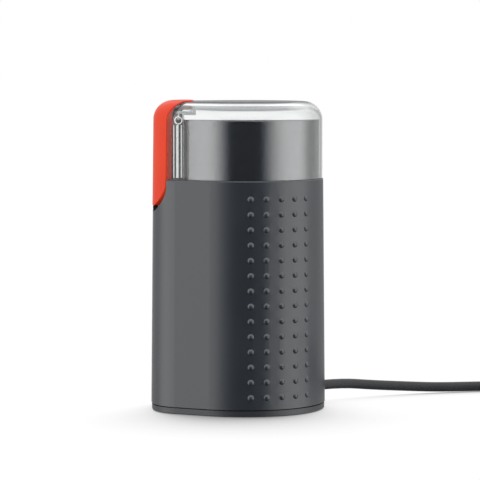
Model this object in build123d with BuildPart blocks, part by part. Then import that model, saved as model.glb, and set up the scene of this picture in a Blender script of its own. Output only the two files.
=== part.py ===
from build123d import *
import os
from math import cos, pi, radians, sin, sqrt, tan

# Electric blade grinder for coffee, in millimetres. It stands on z = 0 with its button towards -X,
# its plan outline centred on the origin and its motor axis at x = axis_x.

# Plan outline: a round end about the motor axis, two straight flanks and a blunt nose
main_radius = 43.0
nose_step = 7.0
flank_angle = 26.0
corner_radius = 22.0
nose_radius = 110.0

# Heights of the outer pieces
foot_stand = 0.3
base_rim = 3.1
shadow_gap = 0.6
casing_height = 119.4
lid_height = 40.6

# Clearances
overrun = 4.0
fit_gap = 0.3
slide_gap = 0.15
running_gap = 0.05

# Casing
casing_wall = 1.8
casing_draft = 1.1
casing_edge = 0.6
deck_thickness = 2.0
post_radius = 4.2
post_embed = 0.4
post_angles = (-10, 105, -105)

# Grip bumps on the casing
bump_rows = 14
bump_columns = 5
bump_radius = 1.65
bump_height = 0.75
bump_root = 0.8
bump_foot_margin = 6.4
bump_top_margin = 9.6
bump_first_angle = 4.2
bump_step_angle = 11.4

# Base cover, feet and screws
base_inset = 0.3
base_edge = 0.4
spigot_height = 5.0
spigot_wall = 1.6
base_boss_radius = 3.4
foot_radius = 5.5
foot_recess = 1.2
foot_angles = (35, -35, 150, -150)
foot_margin = 12.0
vent_count = 5
vent_length = 22.0
vent_width = 2.4
vent_pitch = 5.0
screw_radius = 1.5
screw_head_radius = 2.8
screw_head_height = 1.6
screw_head_sink = 0.4
screw_drive_radius = 1.3
screw_drive_depth = 0.9
screw_grip = 10.0

# Lid
lid_step = 0.4
lid_wall = 1.3
lid_top = 1.6
lid_corner = 10.0

# Button
button_side_room = 17.5
button_thickness = 3.0
button_travel = 2.5
button_proud = 0.5
button_tip_inset = 0.75
button_inner_corner = 4.5
tip_depth = 14.2
tip_corner = 13.0
notch_play = 0.5
tongue_length = 21.0
tongue_thickness = 2.4
tongue_corner = 15.0
recess_play = 0.4
press_foot_rise = 1.0
press_foot_height = 4.0
press_foot_width = 8.0
press_foot_back = 0.4

# Button spring, between a shelf of the lid and a tab of the button
shelf_rise = 15.0
shelf_height = 2.0
shelf_width = 5.0
shelf_back = 1.0
button_spring_length = 10.0
button_spring_radius = 1.25
button_spring_wire = 0.4
button_spring_turns = 6
tab_height = 2.5

# Carrier plate that holds the motor, the bowl and the switch
carrier_drop = 0.2
carrier_thickness = 3.0

# Bowl, gasket and nut
bowl_gap = 0.4
bowl_wall = 0.8
bowl_corner = 14.0
bowl_rim_drop = 9.7
gasket_thickness = 1.5
gasket_radius = 20.0
nut_width = 22.0
nut_height = 5.0
neck_stand = 0.7

# Motor brackets and bearings
mount_height = 4.0
mount_radius = 6.5
mount_bore = 3.9
mount_room = 0.7
bracket_thickness = 3.0
bracket_hole_edge = 4.0
neck_radius = 8.0
bush_radius = 6.0
upper_bush_length = 12.0
seal_height = 3.0
seal_gap = 0.1
cup_depth = 10.0
cup_floor = 2.0
motor_lift = 22.6
strut_angle = 42.0
strut_radius = 3.4
bolt_radius = 1.6
bolt_head_radius = 3.0
bolt_head_height = 2.2

# Stator and field coils
stator_corner = 10.0
strut_edge_x = 4.5
strut_edge_y = 5.0
air_gap = 0.6
pole_depth = 10.0
yoke_end = 4.0
coil_window = 7.5
coil_thickness = 4.2
coil_room = 1.0
coil_overhang = 6.0
coil_corner = 3.0

# Rotor
shaft_radius = 3.0
armature_slots = 12
slot_width = 2.0
slot_depth = 5.0
winding_overhang = 5.5
winding_step = 1.5
winding_bore = 5.0
commutator_step = 6.0
commutator_height = 11.0
commutator_gap = 1.5
commutator_lift = 6.0
fan_room = 3.5
fan_height = 7.0
fan_plate = 1.5
fan_edge = 1.0
fan_hub_radius = 6.5
fan_blades = 9
fan_blade_thickness = 1.2
fan_gap = 2.0

# Brush gear
brush_width = 5.0
brush_height = 6.0
brush_length = 10.0
brush_gap = 0.3
holder_wall = 1.4
holder_start = 2.0
holder_back = 1.0
brush_spring_length = 5.0
brush_spring_radius = 1.9
brush_spring_wire = 0.5
brush_spring_turns = 4

# Blade, hub and blade nut
hub_gap = 0.6
hub_flange_radius = 10.5
hub_flange_height = 2.4
hub_neck_radius = 7.0
hub_neck_height = 3.0
blade_room = 8.0
blade_thickness = 1.5
blade_width = 12.0
blade_tip_width = 7.0
blade_root = 11.0
blade_bend = 21.0
blade_rise = 4.0
blade_fall = 2.0
blade_nut_radius = 6.0
blade_nut_height = 5.0
blade_nut_edge = 2.0
shaft_in_nut = 3.0

# Switch
plunger_radius = 1.7
plunger_below_foot = 0.3
plunger_in_switch = 5.5
switch_length = 21.0
switch_width = 5.8
switch_height = 12.0
switch_floor = 1.5
switch_screw_spread = 16.0
switch_screw_radius = 0.9
switch_screw_head = 1.7
switch_screw_grip = 2.0
plunger_spring_radius = 1.2
plunger_spring_wire = 0.35
plunger_spring_turns = 4
contact_spread = 8.0
contact_width = 3.0
contact_thickness = 0.8
contact_length = 6.0

# Electrical pieces on the base
capacitor_length = 13.0
capacitor_width = 20.0
capacitor_height = 13.0
capacitor_corner = 2.0
capacitor_back = 19.0
terminal_length = 9.0
terminal_width = 18.0
terminal_height = 10.0
terminal_back = 23.0
terminal_side_room = 27.0
terminal_hole_radius = 1.6

# Strain relief and cord clamp
cord_diameter = 5.4
gland_angle = 35.0
gland_z = 8.4
gland_neck_radius = 4.0
gland_flange_radius = 6.0
gland_flange = 2.0
gland_seat = 0.9
gland_tail_radius = 3.5
gland_tail = 8.0
gland_collar_radius = 4.9
gland_end_radius = 3.3
gland_nose = 9.0
gland_slot_width = 13.0
clamp_back = 9.5
clamp_width = 6.0
clamp_spread = 15.0
clamp_thickness = 2.4
clamp_post_radius = 3.0

# Lead wires: bends by eye, x and y as shares of the round end's radius and z of the casing's height
wire_radius = 0.9
wire_lead = 8.0
wire_drop = 16.0
wire_rise = 5.6
wire_approach = 7.0
live_shares = [(0.0, 0.42, 0.075), (-0.465, 0.49, 0.1), (-0.79, 0.37, 0.2), (-0.953, 0.186, 0.35)]
switch_shares = [(-0.884, 0.28, 0.5), (-0.558, 0.698, 0.4)]
terminal_shares = [(0.372, -0.767, 0.21), (0.326, -0.744, 0.293)]

# Cord: the points of its free stretches, its coil and its ties
cord_route = [
    (73.0, 46.5, 6.3),
    (91.0, 54.5, 4.6),
    (110.0, 61.5, 3.1),
    (131.0, 67.6, 2.75),
    (152.0, 71.0, 2.75),
]
tail_route = [
    (221.6, 3.5, 6.5),
]
cord_first_run = 14.0
cord_last_run = 12.0
coil_x = 184.0
coil_y = 35.5
coil_radius = 36.0
coil_quarters = 17
turn_gap = 0.75
tie_thickness = 0.7
tie_width = 4.0
tie_play = 0.3
tie_corner = 2.4
tie_angles = (45, 225)
tangent_fraction_share = 0.45
nudge_share = 0.0001

# Plug
plug_end = (221.6, -9.0, 6.5)
plug_boot = 14.0
plug_boot_radius = 4.6
plug_length = 24.0
plug_width = 30.0
plug_height = 13.0
plug_corner = 4.0
plug_edge = 0.7
pin_radius = 2.0
pin_length = 19.0
pin_spread = 18.6

# Levels worked out from the sizes above
nose_reach = main_radius + nose_step
axis_x = nose_step / 2
base_z = foot_stand
base_top_z = base_z + base_rim
casing_z = base_top_z + shadow_gap
seam_z = casing_z + casing_height
lid_top_z = seam_z + lid_height
button_top_z = lid_top_z + button_proud
tip_z = seam_z - tip_depth
notch_z = tip_z - button_travel - notch_play
carrier_top_z = notch_z - carrier_drop
carrier_z = carrier_top_z - carrier_thickness
bowl_z = carrier_top_z + gasket_thickness
bowl_floor_z = bowl_z + bowl_wall
rim_z = lid_top_z - bowl_rim_drop
neck_top_z = bowl_floor_z + nut_height + neck_stand
upper_bracket_z = carrier_z - mount_height - bracket_thickness
fan_z = upper_bracket_z - fan_gap - fan_height
stator_top_z = fan_z - fan_gap - coil_overhang
lower_bracket_z = base_top_z + motor_lift
lower_bracket_top_z = lower_bracket_z + bracket_thickness
commutator_z = lower_bracket_top_z + commutator_lift
stator_z = commutator_z + commutator_height + commutator_gap + winding_overhang
stator_height = stator_top_z - stator_z
cup_z = lower_bracket_z - cup_depth
cup_floor_z = cup_z + cup_floor
hub_z = neck_top_z + hub_gap
blade_z = hub_z + hub_flange_height + hub_neck_height
blade_nut_z = blade_z + blade_thickness
shaft_z = cup_floor_z + fit_gap
shaft_top_z = blade_nut_z + shaft_in_nut
post_foot_z = casing_z + spigot_height
recess_floor_z = button_top_z - tongue_thickness - button_travel - recess_play

# Radii and places that several pieces share
lid_inset = casing_draft + lid_step
lid_inner_radius = main_radius - lid_inset - lid_wall
bay_radius = lid_inner_radius + lid_wall
bowl_radius = lid_inner_radius - bowl_gap
post_ring_radius = main_radius - casing_wall - post_radius + post_embed
screw_hole_radius = screw_radius + running_gap
bolt_hole_radius = bolt_radius + running_gap
button_half_width = main_radius - button_side_room
foot_ring_radius = main_radius - foot_margin
clamp_reach = main_radius - clamp_back
capacitor_reach = nose_reach - capacitor_back
terminal_reach = main_radius - terminal_back
terminal_side = main_radius - terminal_side_room
strut_ring = main_radius - casing_draft - casing_wall - mount_room - mount_radius
strut_x = strut_ring * cos(radians(strut_angle))
strut_y = strut_ring * sin(radians(strut_angle))
stator_length = 2 * (strut_x + strut_edge_x)
stator_width = 2 * (strut_y + strut_edge_y)
bracket_hole_radius = (stator_width / 2 - neck_radius) / 2 - bracket_hole_edge
bracket_hole_ring = (stator_width / 2 + neck_radius) / 2
armature_radius = stator_width / 2 - pole_depth
winding_radius = armature_radius - winding_step
commutator_radius = armature_radius - commutator_step
coil_place = winding_radius + coil_room + coil_thickness
fan_radius = strut_ring - strut_radius - fan_room
blade_reach = bowl_radius - bowl_wall - blade_room
plunger_reach = bay_radius + press_foot_back + plunger_radius
press_foot_z = tip_z + press_foot_rise
plunger_top_z = press_foot_z - plunger_below_foot
plunger_z = carrier_z - plunger_in_switch
switch_z = carrier_z - switch_height
shelf_z = seam_z + shelf_rise
button_spring_z = shelf_z + shelf_height
tab_z = button_spring_z + button_spring_length
brush_z = commutator_z + commutator_height / 2
brush_start = commutator_radius + brush_gap
holder_end = brush_start + brush_length + brush_spring_length + holder_back

motor_axis = Axis((axis_x, 0, 0), (0, 0, 1))


def level(z):
    """Plane parallel to the floor at height z, centred on the motor axis."""
    return Plane((axis_x, 0, z))


def spot(reach, angle):
    """Point (x, y) at a distance from the motor axis, at an angle from +X."""
    return (axis_x + reach * cos(radians(angle)), reach * sin(radians(angle)))


def inset_at(z):
    """How far the casing's tapered skin has drawn in at height z."""
    return casing_draft * (z - casing_z) / casing_height


def egg_outline(inset):
    """Plan outline of the body, drawn in by inset, about the motor axis."""
    round_end = main_radius - inset
    corner = corner_radius - inset
    nose = nose_radius - inset
    lean = radians(flank_angle)
    normal = Vector(-sin(lean), cos(lean))
    along = Vector(cos(lean), sin(lean))
    nose_centre = Vector(nose_radius - nose_reach, 0)
    foot = normal * (main_radius - corner_radius) - nose_centre
    half = foot.dot(along)
    slide = -half - sqrt(half * half - foot.dot(foot) + (nose_radius - corner_radius) ** 2)
    centre = nose_centre + foot + along * slide
    ray = (centre - nose_centre).normalized()
    between = (normal + ray).normalized()
    tangent = normal * round_end
    flank = centre + normal * corner
    knee = centre + between * corner
    cheek = nose_centre + ray * nose
    front = [Vector(point.X, -point.Y) for point in (tangent, flank, knee, cheek)]
    ThreePointArc(tangent, (round_end, 0), front[0])
    Line(front[0], front[1])
    ThreePointArc(front[1], front[2], front[3])
    ThreePointArc(front[3], (nose_centre.X - nose, 0), cheek)
    ThreePointArc(cheek, knee, flank)
    Line(flank, tangent)


def tongue_outline(grown, low, high):
    """Front outline of the button, grown at its sides: a strip with a round-cornered lower end."""
    side = button_half_width + grown
    FilletPolyline((-side, high), (-side, low), (side, low), (side, high), radius=tip_corner + grown)
    Line((side, high), (-side, high))


def tongue_plan(grown):
    """Plan of the button, grown at its edges, from its round-cornered back end out past the nose."""
    with Locations((-(nose_reach - lid_inset - tongue_length - grown), 0)):
        RectangleRounded(
            4 * tongue_length,
            2 * (button_half_width + grown),
            tongue_corner + grown,
            align=(Align.MAX, Align.CENTER),
        )


def biarc(start, start_way, end, end_way):
    """Two tangent arcs from start to end, leaving and arriving along the given directions."""
    span = end - start
    ways = start_way + end_way
    turn = 2 * (1 - start_way.dot(end_way))
    across = span.dot(ways)
    reach = (-across + sqrt(across * across + turn * span.dot(span))) / turn
    middle = (start + end + (start_way - end_way) * reach) * (1 / 2)
    middle_way = (end - end_way * reach - start - start_way * reach).normalized()
    TangentArc(start, middle, tangent=start_way)
    TangentArc(middle, end, tangent=middle_way)


def way_at(place, turn):
    """Direction of a winding at a number of quarter turns."""
    return (place(turn + nudge_share) - place(turn - nudge_share)).normalized()


def wind(place, quarters):
    """A winding through place(0) to place(quarters), a pair of arcs to each quarter turn."""
    for quarter in range(quarters):
        biarc(place(quarter), way_at(place, quarter), place(quarter + 1), way_at(place, quarter + 1))


def least_gap(place, quarters, diameter):
    """Least distance between the skins of one winding's neighbouring turns."""
    steps = [turn / 8 for turn in range(8 * quarters + 1)]
    points = [place(turn) for turn in steps]
    pairs = [
        (points[i] - points[j]).length
        for i in range(len(points))
        for j in range(i)
        if steps[i] - steps[j] > 2
    ]
    return min(pairs) - diameter


def spring_place(plane, radius, length, turns):
    """Points of a spring on a plane, from its foot up, by quarter turns."""

    def place(quarter):
        angle = quarter * pi / 2
        rise = length * quarter / (4 * turns)
        return plane.from_local_coords(Vector(radius * cos(angle), radius * sin(angle), rise))

    return place


def wire_points(shares):
    """Bends of a lead wire, from its shares of the casing's sizes."""
    return [Vector(axis_x + x * main_radius, y * main_radius, z * casing_height) for x, y, z in shares]


def corner_radii(points):
    """Largest arcs that the runs of a cord's route leave room for."""
    radii = []
    for before, point, after in zip(points, points[1:], points[2:]):
        come, go = Vector(point) - Vector(before), Vector(after) - Vector(point)
        half_turn = radians(come.get_angle(go)) / 2
        radii.append(tangent_fraction_share * min(come.length, go.length) / tan(half_turn))
    return radii


nose_plane = Plane((axis_x - nose_reach - overrun, 0, 0), x_dir=(0, 1, 0), z_dir=(1, 0, 0))
side_plane = Plane((axis_x, 0, 0), x_dir=(1, 0, 0), z_dir=(0, -1, 0))
post_spots = [spot(post_ring_radius, angle) for angle in post_angles]
strut_spots = [(axis_x + i * strut_x, j * strut_y) for i in (-1, 1) for j in (-1, 1)]
foot_spots = [spot(foot_ring_radius, angle) for angle in foot_angles]
plunger_spot = spot(plunger_reach, 180)
gland_way = Vector(cos(radians(gland_angle)), sin(radians(gland_angle)), 0)
gland_side = Vector(-gland_way.Y, gland_way.X, 0)
gland_plane = Plane((axis_x, 0, gland_z), x_dir=gland_side, z_dir=gland_way)

# Space that the button moves in, from the notch in the casing to the top of the lid
with BuildPart() as button_bay:
    with BuildSketch(nose_plane):
        with BuildLine():
            tongue_outline(fit_gap, notch_z, button_top_z + overrun)
        make_face()
    extrude(amount=nose_reach + overrun)
    with BuildSketch(level(notch_z - overrun)):
        tongue_plan(fit_gap)
        Circle(bay_radius, mode=Mode.SUBTRACT)
    extrude(amount=lid_height + casing_height, mode=Mode.INTERSECT)

# One grip bump: a low dome on a short root, standing along +Z
with BuildPart() as bump:
    dome = (bump_radius**2 + bump_height**2) / (2 * bump_height)
    with BuildSketch(Plane.XZ):
        with BuildLine():
            Line((0, -bump_root), (bump_radius, -bump_root))
            Line((bump_radius, -bump_root), (bump_radius, 0))
            RadiusArc((bump_radius, 0), (0, bump_height), -dome)
            Line((0, bump_height), (0, -bump_root))
        make_face()
    revolve(axis=Axis.Z)

bump_pitch = (casing_height - bump_foot_margin - bump_top_margin) / (bump_rows - 1)
bump_planes = []
for row in range(bump_rows):
    bump_z = casing_z + bump_foot_margin + row * bump_pitch
    for column in range(bump_columns):
        turn = radians(bump_first_angle + column * bump_step_angle)
        for side in (-1, 1):
            outward = Vector(sin(turn), side * cos(turn), 0)
            skin = Vector(axis_x, 0, bump_z) + outward * (main_radius - inset_at(bump_z))
            from_gland = (skin - gland_plane.origin).cross(gland_way).length
            if from_gland > gland_collar_radius + bump_radius + fit_gap:
                bump_planes.append(Plane(skin, x_dir=(0, 0, 1), z_dir=outward))

# Outer casing: a tapered shell with a deck across its nose, posts inside and grip bumps outside
with BuildPart() as outer_casing:
    for height in (casing_z, seam_z):
        with BuildSketch(level(height)):
            with BuildLine():
                egg_outline(inset_at(height))
            make_face()
    loft()
    chamfer(outer_casing.faces().sort_by(Axis.Z)[-1].edges(), casing_edge)
    for height in (casing_z - overrun, seam_z + overrun):
        with BuildSketch(level(height)):
            with BuildLine():
                egg_outline(inset_at(height) + casing_wall)
            make_face()
    loft(mode=Mode.SUBTRACT)
    with BuildSketch(level(seam_z - deck_thickness)):
        with BuildLine():
            egg_outline(casing_draft + casing_wall / 2)
        make_face()
        Circle(lid_inner_radius, mode=Mode.SUBTRACT)
    extrude(amount=deck_thickness)
    with BuildSketch(Plane.XY.offset(post_foot_z)):
        with Locations(*post_spots):
            Circle(post_radius)
            Circle(screw_hole_radius, mode=Mode.SUBTRACT)
    extrude(amount=carrier_z - post_foot_z)
    add(button_bay.part, mode=Mode.SUBTRACT)
    with BuildSketch(gland_plane):
        Circle(gland_neck_radius + slide_gap)
        with Locations((0, casing_z - gland_z)):
            Rectangle(
                2 * (gland_neck_radius + slide_gap),
                gland_z - casing_z,
                align=(Align.CENTER, Align.MIN),
            )
    extrude(amount=main_radius + overrun, mode=Mode.SUBTRACT)
    with Locations(*bump_planes):
        add(bump.part)

# Base cover: the rim under the shadow gap, a spigot inside the casing and bosses for the screws
with BuildPart() as base_cover:
    with BuildSketch(level(base_z)):
        with BuildLine():
            egg_outline(base_inset)
        make_face()
    extrude(amount=base_rim)
    chamfer(base_cover.faces().sort_by(Axis.Z)[0].edges(), base_edge)
    with BuildSketch(level(base_top_z)):
        with BuildLine():
            egg_outline(casing_wall + fit_gap)
        make_face()
        with BuildLine():
            egg_outline(casing_wall + fit_gap + spigot_wall)
        make_face(mode=Mode.SUBTRACT)
    extrude(amount=post_foot_z - base_top_z)
    with BuildSketch(gland_plane.offset(clamp_reach)):
        with Locations((0, base_top_z - gland_z)):
            Rectangle(gland_slot_width, casing_height, align=(Align.CENTER, Align.MIN))
    extrude(amount=main_radius, mode=Mode.SUBTRACT)
    with BuildSketch(Plane.XY.offset(base_top_z)):
        with Locations(*post_spots):
            Circle(base_boss_radius)
    extrude(amount=post_foot_z - base_top_z)
    with BuildSketch(gland_plane.offset(clamp_reach)):
        with Locations((0, base_top_z - gland_z)):
            Rectangle(
                clamp_spread,
                gland_z - gland_tail_radius - slide_gap - base_top_z,
                align=(Align.CENTER, Align.MIN),
            )
    extrude(amount=clamp_width / 2, both=True)
    clamp_spots = [
        (Vector(axis_x, 0) + gland_way * clamp_reach + gland_side * (side * clamp_spread / 2))
        for side in (-1, 1)
    ]
    with BuildSketch(Plane.XY.offset(base_top_z)):
        with Locations(*clamp_spots):
            Circle(clamp_post_radius)
    extrude(amount=gland_z + gland_tail_radius + slide_gap - base_top_z)
    with BuildSketch(Plane.XY.offset(gland_z)):
        with Locations(*clamp_spots):
            Circle(screw_hole_radius)
    extrude(amount=casing_height, mode=Mode.SUBTRACT)
    with BuildSketch(Plane.XY.offset(base_z - overrun)):
        with Locations(*post_spots):
            Circle(screw_hole_radius)
    extrude(amount=casing_height, mode=Mode.SUBTRACT)
    with BuildSketch(Plane.XY.offset(base_z)):
        with Locations(*post_spots):
            Circle(screw_head_radius + slide_gap)
    extrude(amount=screw_head_height + screw_head_sink, mode=Mode.SUBTRACT)
    with BuildSketch(Plane.XY.offset(base_z)):
        with Locations(*foot_spots):
            Circle(foot_radius + running_gap)
    extrude(amount=foot_recess, mode=Mode.SUBTRACT)
    with BuildSketch(level(base_z)):
        with GridLocations(0, vent_pitch, 1, vent_count):
            SlotOverall(vent_length, vent_width)
    extrude(amount=base_rim, mode=Mode.SUBTRACT)

# Rubber feet in their recesses
with BuildPart() as rubber_feet:
    with BuildSketch(Plane.XY):
        with Locations(*foot_spots):
            Circle(foot_radius)
    extrude(amount=foot_stand + foot_recess)
    chamfer(rubber_feet.edges().group_by(Axis.Z)[0], foot_stand / 2)

# Screws from under the base into the casing's posts
with BuildPart() as base_screws:
    base_seat_z = base_z + screw_head_sink + screw_head_height
    with BuildSketch(Plane.XY.offset(base_seat_z)):
        with Locations(*post_spots):
            Circle(screw_head_radius)
    extrude(amount=-screw_head_height)
    with BuildSketch(Plane.XY.offset(base_seat_z)):
        with Locations(*post_spots):
            Circle(screw_radius)
    extrude(amount=post_foot_z + screw_grip - base_seat_z)
    with BuildSketch(Plane.XY.offset(base_seat_z - screw_head_height)):
        with Locations(*post_spots):
            RegularPolygon(screw_drive_radius, 6)
    extrude(amount=screw_drive_depth, mode=Mode.SUBTRACT)

# Carrier plate across the casing, screwed down on the posts
with BuildPart() as motor_carrier:
    with BuildSketch(level(carrier_z)):
        with BuildLine():
            egg_outline(inset_at(carrier_top_z) + casing_wall + fit_gap)
        make_face()
        Circle(neck_radius + fit_gap, mode=Mode.SUBTRACT)
    extrude(amount=carrier_thickness)
    with BuildSketch(Plane.XY.offset(carrier_z)):
        with Locations(*post_spots):
            Circle(screw_hole_radius)
        with Locations(plunger_spot):
            Circle(plunger_radius + fit_gap)
        with Locations(plunger_spot):
            with GridLocations(0, switch_screw_spread, 1, 2):
                Circle(switch_screw_radius + running_gap)
    extrude(amount=carrier_thickness, mode=Mode.SUBTRACT)

# Screws that hold the carrier on the posts
with BuildPart() as carrier_screws:
    with BuildSketch(Plane.XY.offset(carrier_top_z)):
        with Locations(*post_spots):
            Circle(screw_head_radius)
    extrude(amount=screw_head_height)
    with BuildSketch(Plane.XY.offset(carrier_top_z)):
        with Locations(*post_spots):
            Circle(screw_radius)
    extrude(amount=-(carrier_thickness + screw_grip))
    with BuildSketch(Plane.XY.offset(carrier_top_z + screw_head_height)):
        with Locations(*post_spots):
            RegularPolygon(screw_drive_radius, 6)
    extrude(amount=-screw_drive_depth, mode=Mode.SUBTRACT)

# Gasket under the bowl
with BuildPart() as bowl_gasket:
    with BuildSketch(level(carrier_top_z)):
        Circle(gasket_radius)
        Circle(neck_radius + fit_gap, mode=Mode.SUBTRACT)
    extrude(amount=gasket_thickness)

# Drawn steel bowl
with BuildPart() as grinding_bowl:
    bend_radius = bowl_radius - bowl_corner
    bend_z = bowl_z + bowl_corner
    inner_bend = bowl_corner - bowl_wall
    slope = sin(radians(90) / 2)
    with BuildSketch(side_plane):
        with BuildLine():
            Line((neck_radius + slide_gap, bowl_z), (bend_radius, bowl_z))
            ThreePointArc(
                (bend_radius, bowl_z),
                (bend_radius + bowl_corner * slope, bend_z - bowl_corner * slope),
                (bowl_radius, bend_z),
            )
            Line((bowl_radius, bend_z), (bowl_radius, rim_z))
            ThreePointArc(
                (bowl_radius, rim_z),
                (bowl_radius - bowl_wall / 2, rim_z + bowl_wall / 2),
                (bowl_radius - bowl_wall, rim_z),
            )
            Line((bowl_radius - bowl_wall, rim_z), (bowl_radius - bowl_wall, bend_z))
            ThreePointArc(
                (bowl_radius - bowl_wall, bend_z),
                (bend_radius + inner_bend * slope, bend_z - inner_bend * slope),
                (bend_radius, bowl_floor_z),
            )
            Line((bend_radius, bowl_floor_z), (neck_radius + slide_gap, bowl_floor_z))
            Line((neck_radius + slide_gap, bowl_floor_z), (neck_radius + slide_gap, bowl_z))
        make_face()
    revolve(axis=motor_axis)

# Nut that clamps the bowl on the bracket's neck
with BuildPart() as bowl_nut:
    with BuildSketch(level(bowl_floor_z)):
        RegularPolygon(nut_width / 2, 6, major_radius=False)
        Circle(neck_radius + running_gap, mode=Mode.SUBTRACT)
    extrude(amount=nut_height)

# Upper bracket: a plate on four struts, with a neck through the carrier and the bowl
with BuildPart() as upper_bracket:
    with BuildSketch(level(upper_bracket_z)):
        RectangleRounded(stator_length, stator_width, stator_corner)
        with PolarLocations(bracket_hole_ring, 4):
            Circle(bracket_hole_radius, mode=Mode.SUBTRACT)
    extrude(amount=bracket_thickness)
    with BuildSketch(level(upper_bracket_z)):
        Circle(neck_radius)
    extrude(amount=neck_top_z - upper_bracket_z)
    with BuildSketch(Plane.XY.offset(stator_top_z)):
        with Locations(*strut_spots):
            Circle(strut_radius)
    extrude(amount=upper_bracket_z - stator_top_z)
    with BuildSketch(level(upper_bracket_z)):
        Circle(bush_radius)
    extrude(amount=neck_top_z - upper_bracket_z, mode=Mode.SUBTRACT)
    with BuildSketch(Plane.XY.offset(stator_top_z)):
        with Locations(*strut_spots):
            Circle(bolt_hole_radius)
    extrude(amount=neck_top_z, mode=Mode.SUBTRACT)

# Lower bracket: a plate on four struts, with a cup for the lower bush
with BuildPart() as lower_bracket:
    with BuildSketch(level(lower_bracket_z)):
        RectangleRounded(stator_length, stator_width, stator_corner)
        with PolarLocations(bracket_hole_ring, 2):
            Circle(bracket_hole_radius, mode=Mode.SUBTRACT)
    extrude(amount=bracket_thickness)
    with BuildSketch(level(cup_z)):
        Circle(neck_radius)
    extrude(amount=cup_depth)
    with BuildSketch(Plane.XY.offset(lower_bracket_top_z)):
        with Locations(*strut_spots):
            Circle(strut_radius)
    extrude(amount=stator_z - lower_bracket_top_z)
    with BuildSketch(level(cup_floor_z)):
        Circle(bush_radius)
    extrude(amount=lower_bracket_top_z - cup_floor_z, mode=Mode.SUBTRACT)
    with BuildSketch(Plane.XY.offset(lower_bracket_z)):
        with Locations(*strut_spots):
            Circle(bolt_hole_radius)
    extrude(amount=stator_z - lower_bracket_z, mode=Mode.SUBTRACT)

# Sintered bushes that the shaft runs in
with BuildPart() as upper_bush:
    with BuildSketch(level(upper_bracket_z)):
        Circle(bush_radius)
        Circle(shaft_radius + running_gap, mode=Mode.SUBTRACT)
    extrude(amount=upper_bush_length)

with BuildPart() as lower_bush:
    with BuildSketch(level(cup_floor_z)):
        Circle(bush_radius)
        Circle(shaft_radius + running_gap, mode=Mode.SUBTRACT)
    extrude(amount=lower_bracket_top_z - cup_floor_z)

# Rubber seal at the top of the neck
with BuildPart() as shaft_seal:
    with BuildSketch(level(neck_top_z - seal_height)):
        Circle(bush_radius)
        Circle(shaft_radius + seal_gap, mode=Mode.SUBTRACT)
    extrude(amount=seal_height)

# Rubber mounts between the upper bracket and the carrier
with BuildPart() as rubber_mounts:
    with BuildSketch(Plane.XY.offset(carrier_z - mount_height)):
        with Locations(*strut_spots):
            Circle(mount_radius)
            Circle(mount_bore, mode=Mode.SUBTRACT)
    extrude(amount=mount_height)

# Long bolts through both brackets and the stator, each with its nut inside a rubber mount
with BuildPart() as motor_bolts:
    with BuildSketch(Plane.XY.offset(lower_bracket_z)):
        with Locations(*strut_spots):
            Circle(bolt_head_radius)
    extrude(amount=-bolt_head_height)
    with BuildSketch(Plane.XY.offset(lower_bracket_z)):
        with Locations(*strut_spots):
            Circle(bolt_radius)
    extrude(amount=carrier_z - mount_height - lower_bracket_z)
    with BuildSketch(Plane.XY.offset(carrier_z - mount_height)):
        with Locations(*strut_spots):
            RegularPolygon(bolt_head_radius, 6)
    extrude(amount=bolt_head_height)

# Laminated stator with two poles
with BuildPart() as stator_core:
    window_length = 2 * (coil_place + fit_gap)
    window_place = stator_width / 2 - yoke_end - coil_window / 2
    with BuildSketch(level(stator_z)):
        RectangleRounded(stator_length, stator_width, stator_corner)
        Circle(armature_radius + air_gap, mode=Mode.SUBTRACT)
        with GridLocations(0, 2 * window_place, 1, 2):
            Rectangle(window_length, coil_window, mode=Mode.SUBTRACT)
    extrude(amount=stator_height)
    with BuildSketch(Plane.XY.offset(stator_z)):
        with Locations(*strut_spots):
            Circle(bolt_hole_radius)
    extrude(amount=stator_height, mode=Mode.SUBTRACT)

# Field coils, one round each pole
with BuildPart() as field_coils:
    coil_outer = stator_width - 2 * (yoke_end + fit_gap)
    coil_inner = stator_width - 2 * (yoke_end + coil_window - fit_gap)
    coil_middle_z = stator_z + stator_height / 2
    for side in (-1, 1):
        with BuildSketch(Plane((axis_x + side * coil_place, 0, coil_middle_z), (0, 1, 0), (-side, 0, 0))):
            RectangleRounded(coil_outer, stator_height + 2 * coil_overhang, coil_corner)
            Rectangle(coil_inner, stator_height + 2 * fit_gap, mode=Mode.SUBTRACT)
        extrude(amount=coil_thickness)

# Motor shaft
with BuildPart() as motor_shaft:
    with BuildSketch(level(shaft_z)):
        Circle(shaft_radius)
    extrude(amount=shaft_top_z - shaft_z)

# Slotted armature core
with BuildPart() as armature_core:
    with BuildSketch(level(stator_z)):
        Circle(armature_radius)
        Circle(shaft_radius, mode=Mode.SUBTRACT)
        with PolarLocations(armature_radius - slot_depth / 2, armature_slots):
            Rectangle(slot_depth + running_gap, slot_width, mode=Mode.SUBTRACT)
    extrude(amount=stator_height)

# Ends of the armature winding above and below the core
with BuildPart() as armature_winding:
    for height in (stator_z - winding_overhang, stator_top_z):
        with BuildSketch(level(height)):
            Circle(winding_radius)
            Circle(winding_bore, mode=Mode.SUBTRACT)
        extrude(amount=winding_overhang)

# Commutator
with BuildPart() as commutator:
    with BuildSketch(level(commutator_z)):
        Circle(commutator_radius)
        Circle(shaft_radius, mode=Mode.SUBTRACT)
    extrude(amount=commutator_height)

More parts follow.
